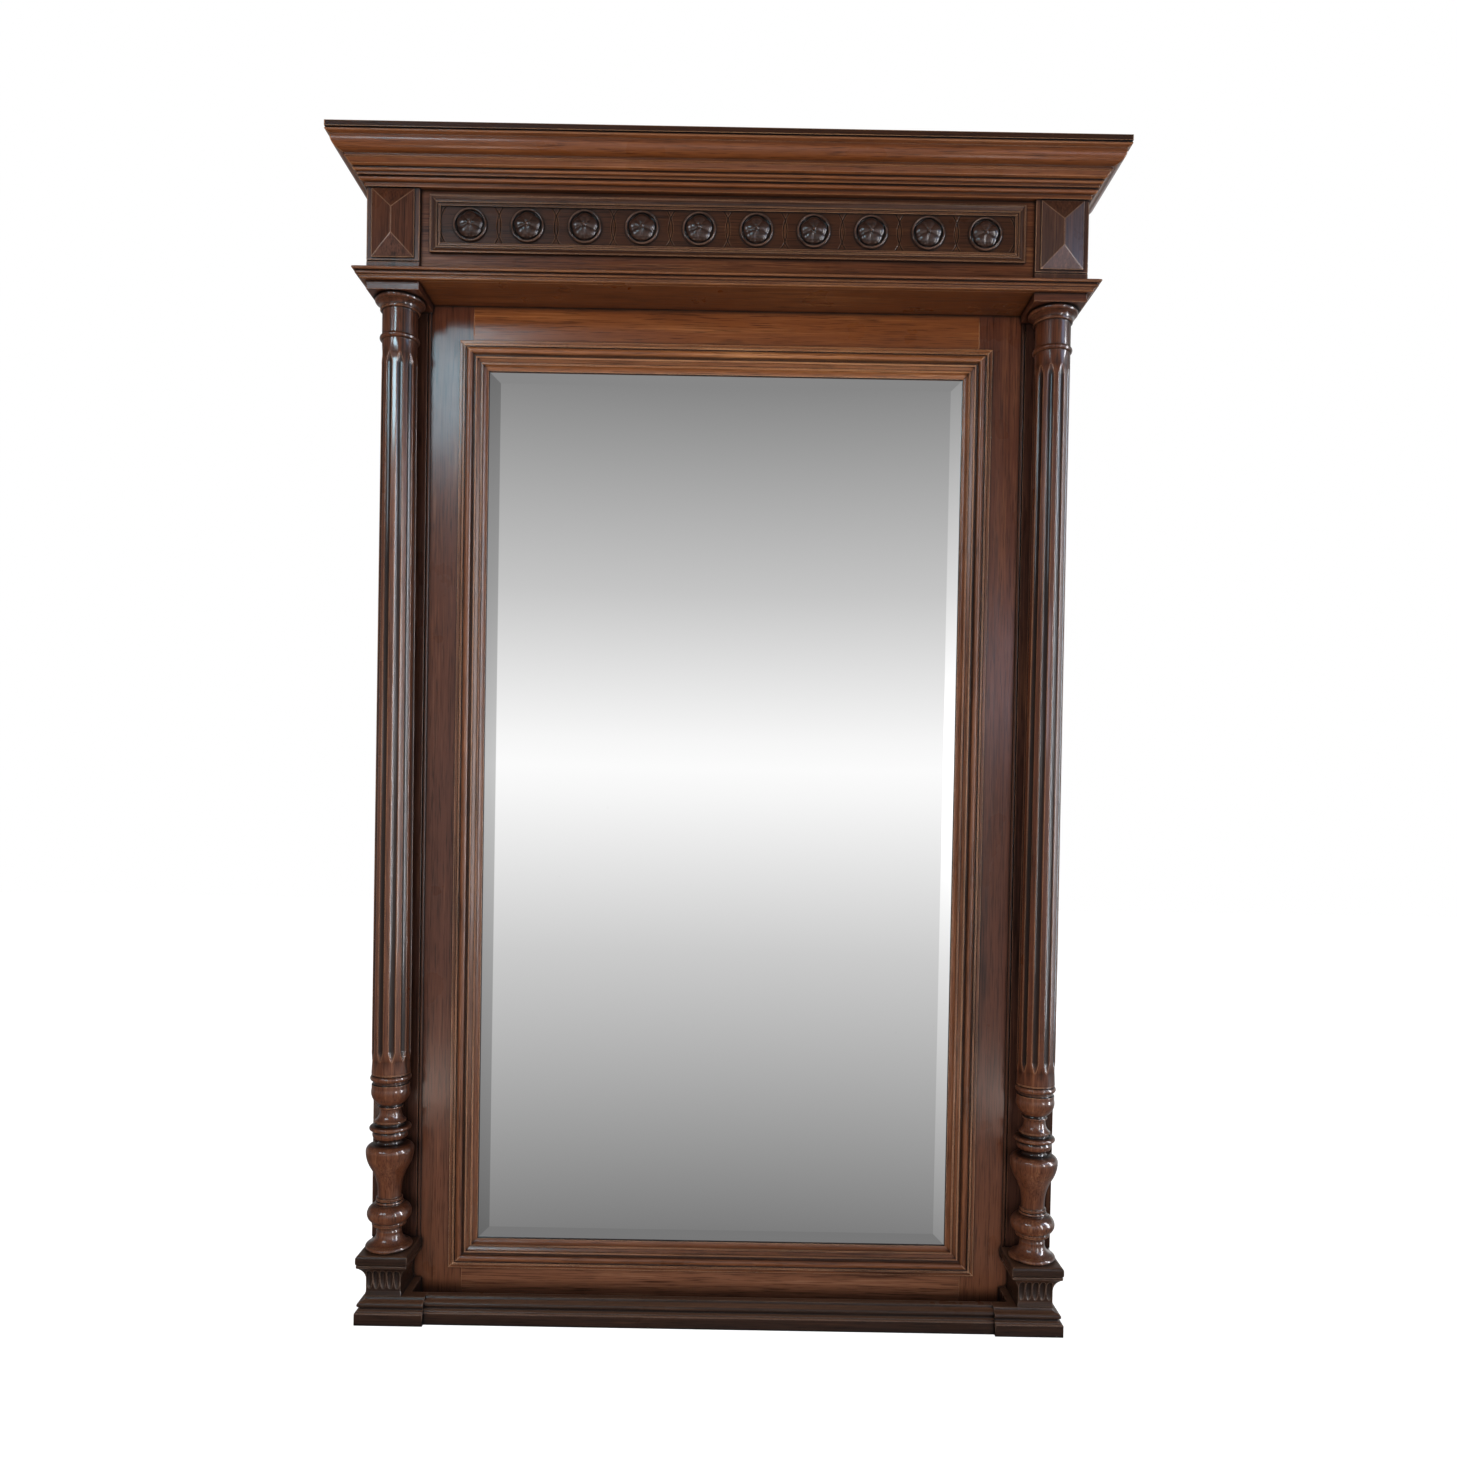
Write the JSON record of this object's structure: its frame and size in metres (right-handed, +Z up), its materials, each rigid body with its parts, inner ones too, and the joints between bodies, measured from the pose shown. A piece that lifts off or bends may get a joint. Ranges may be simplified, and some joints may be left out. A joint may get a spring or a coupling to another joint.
{
  "type": "overmantel mirror",
  "caption": "Tall carved walnut overmantel mirror with a bevelled glass between fluted columns, a frieze of rosettes and a stepped cornice.",
  "frame": {"origin": "centre of the bounding box's foot, on the surface the mirror stands on", "axes": "+Z up, -Y out of the glass towards the viewer, +X to the viewer's right"},
  "size_m": [1.086, 0.148, 1.65],
  "materials": {
    "walnut": "varnished and waxed, dark walnut",
    "back_wood": "bare softwood, aged",
    "peg_wood": "bare oak",
    "mirror": "silvered, bevelled edge",
    "iron": "dull forged",
    "screw_steel": "dull"
  },
  "bodies": {
    "mirror": {"back_screws": "screw_steel", "base_board": "walnut", "bottom_rail": "walnut", "cornice_front": "walnut", "cornice_left_return": "walnut", "cornice_right_return": "walnut", "crest_rail": "walnut", "frame_pegs": "peg_wood", "frieze_board": "walnut", "frieze_moulding_bottom": "walnut", "frieze_moulding_left": "walnut", "frieze_moulding_right": "walnut", "frieze_moulding_top": "walnut", "glass_blocks": "back_wood", "hanger_plates": "iron", "ledge_board": "walnut", "ledge_front": "walnut", "ledge_left_return": "walnut", "ledge_right_return": "walnut", "left_abacus": "walnut", "left_back_board": "back_wood", "left_back_strip": "walnut", "left_baluster": "walnut", "left_column_shaft": "walnut", "left_corner_block": "walnut", "left_diamond_point": "walnut", "left_plinth_base": "walnut", "left_plinth_cap": "walnut", "left_plinth_dado": "walnut", "left_stile": "walnut", "mirror_glass": "mirror", "right_abacus": "walnut", "right_back_board": "back_wood", "right_back_strip": "walnut", "right_baluster": "walnut", "right_column_shaft": "walnut", "right_corner_block": "walnut", "right_diamond_point": "walnut", "right_plinth_base": "walnut", "right_plinth_cap": "walnut", "right_plinth_dado": "walnut", "right_stile": "walnut", "rosette_01": "walnut", "rosette_02": "walnut", "rosette_03": "walnut", "rosette_04": "walnut", "rosette_05": "walnut", "rosette_06": "walnut", "rosette_07": "walnut", "rosette_08": "walnut", "rosette_09": "walnut", "rosette_10": "walnut", "sight_moulding_bottom": "walnut", "sight_moulding_left": "walnut", "sight_moulding_right": "walnut", "sight_moulding_top": "walnut", "top_board": "walnut", "top_rail": "walnut"},
    "left_ring": {"left_hanger_ring": "iron"},
    "right_ring": {"right_hanger_ring": "iron"}
  },
  "joints": [
    {"name": "left_ring_swing", "type": "hinge", "parent": "mirror", "child": "left_ring", "pos_m": [-0.439, 0.0681, 1.268], "axis": [1, 0, 0], "range_deg": [0, 120]},
    {"name": "right_ring_swing", "type": "hinge", "parent": "mirror", "child": "right_ring", "pos_m": [0.439, 0.0681, 1.268], "axis": [1, 0, 0], "range_deg": [0, 120]}
  ]
}
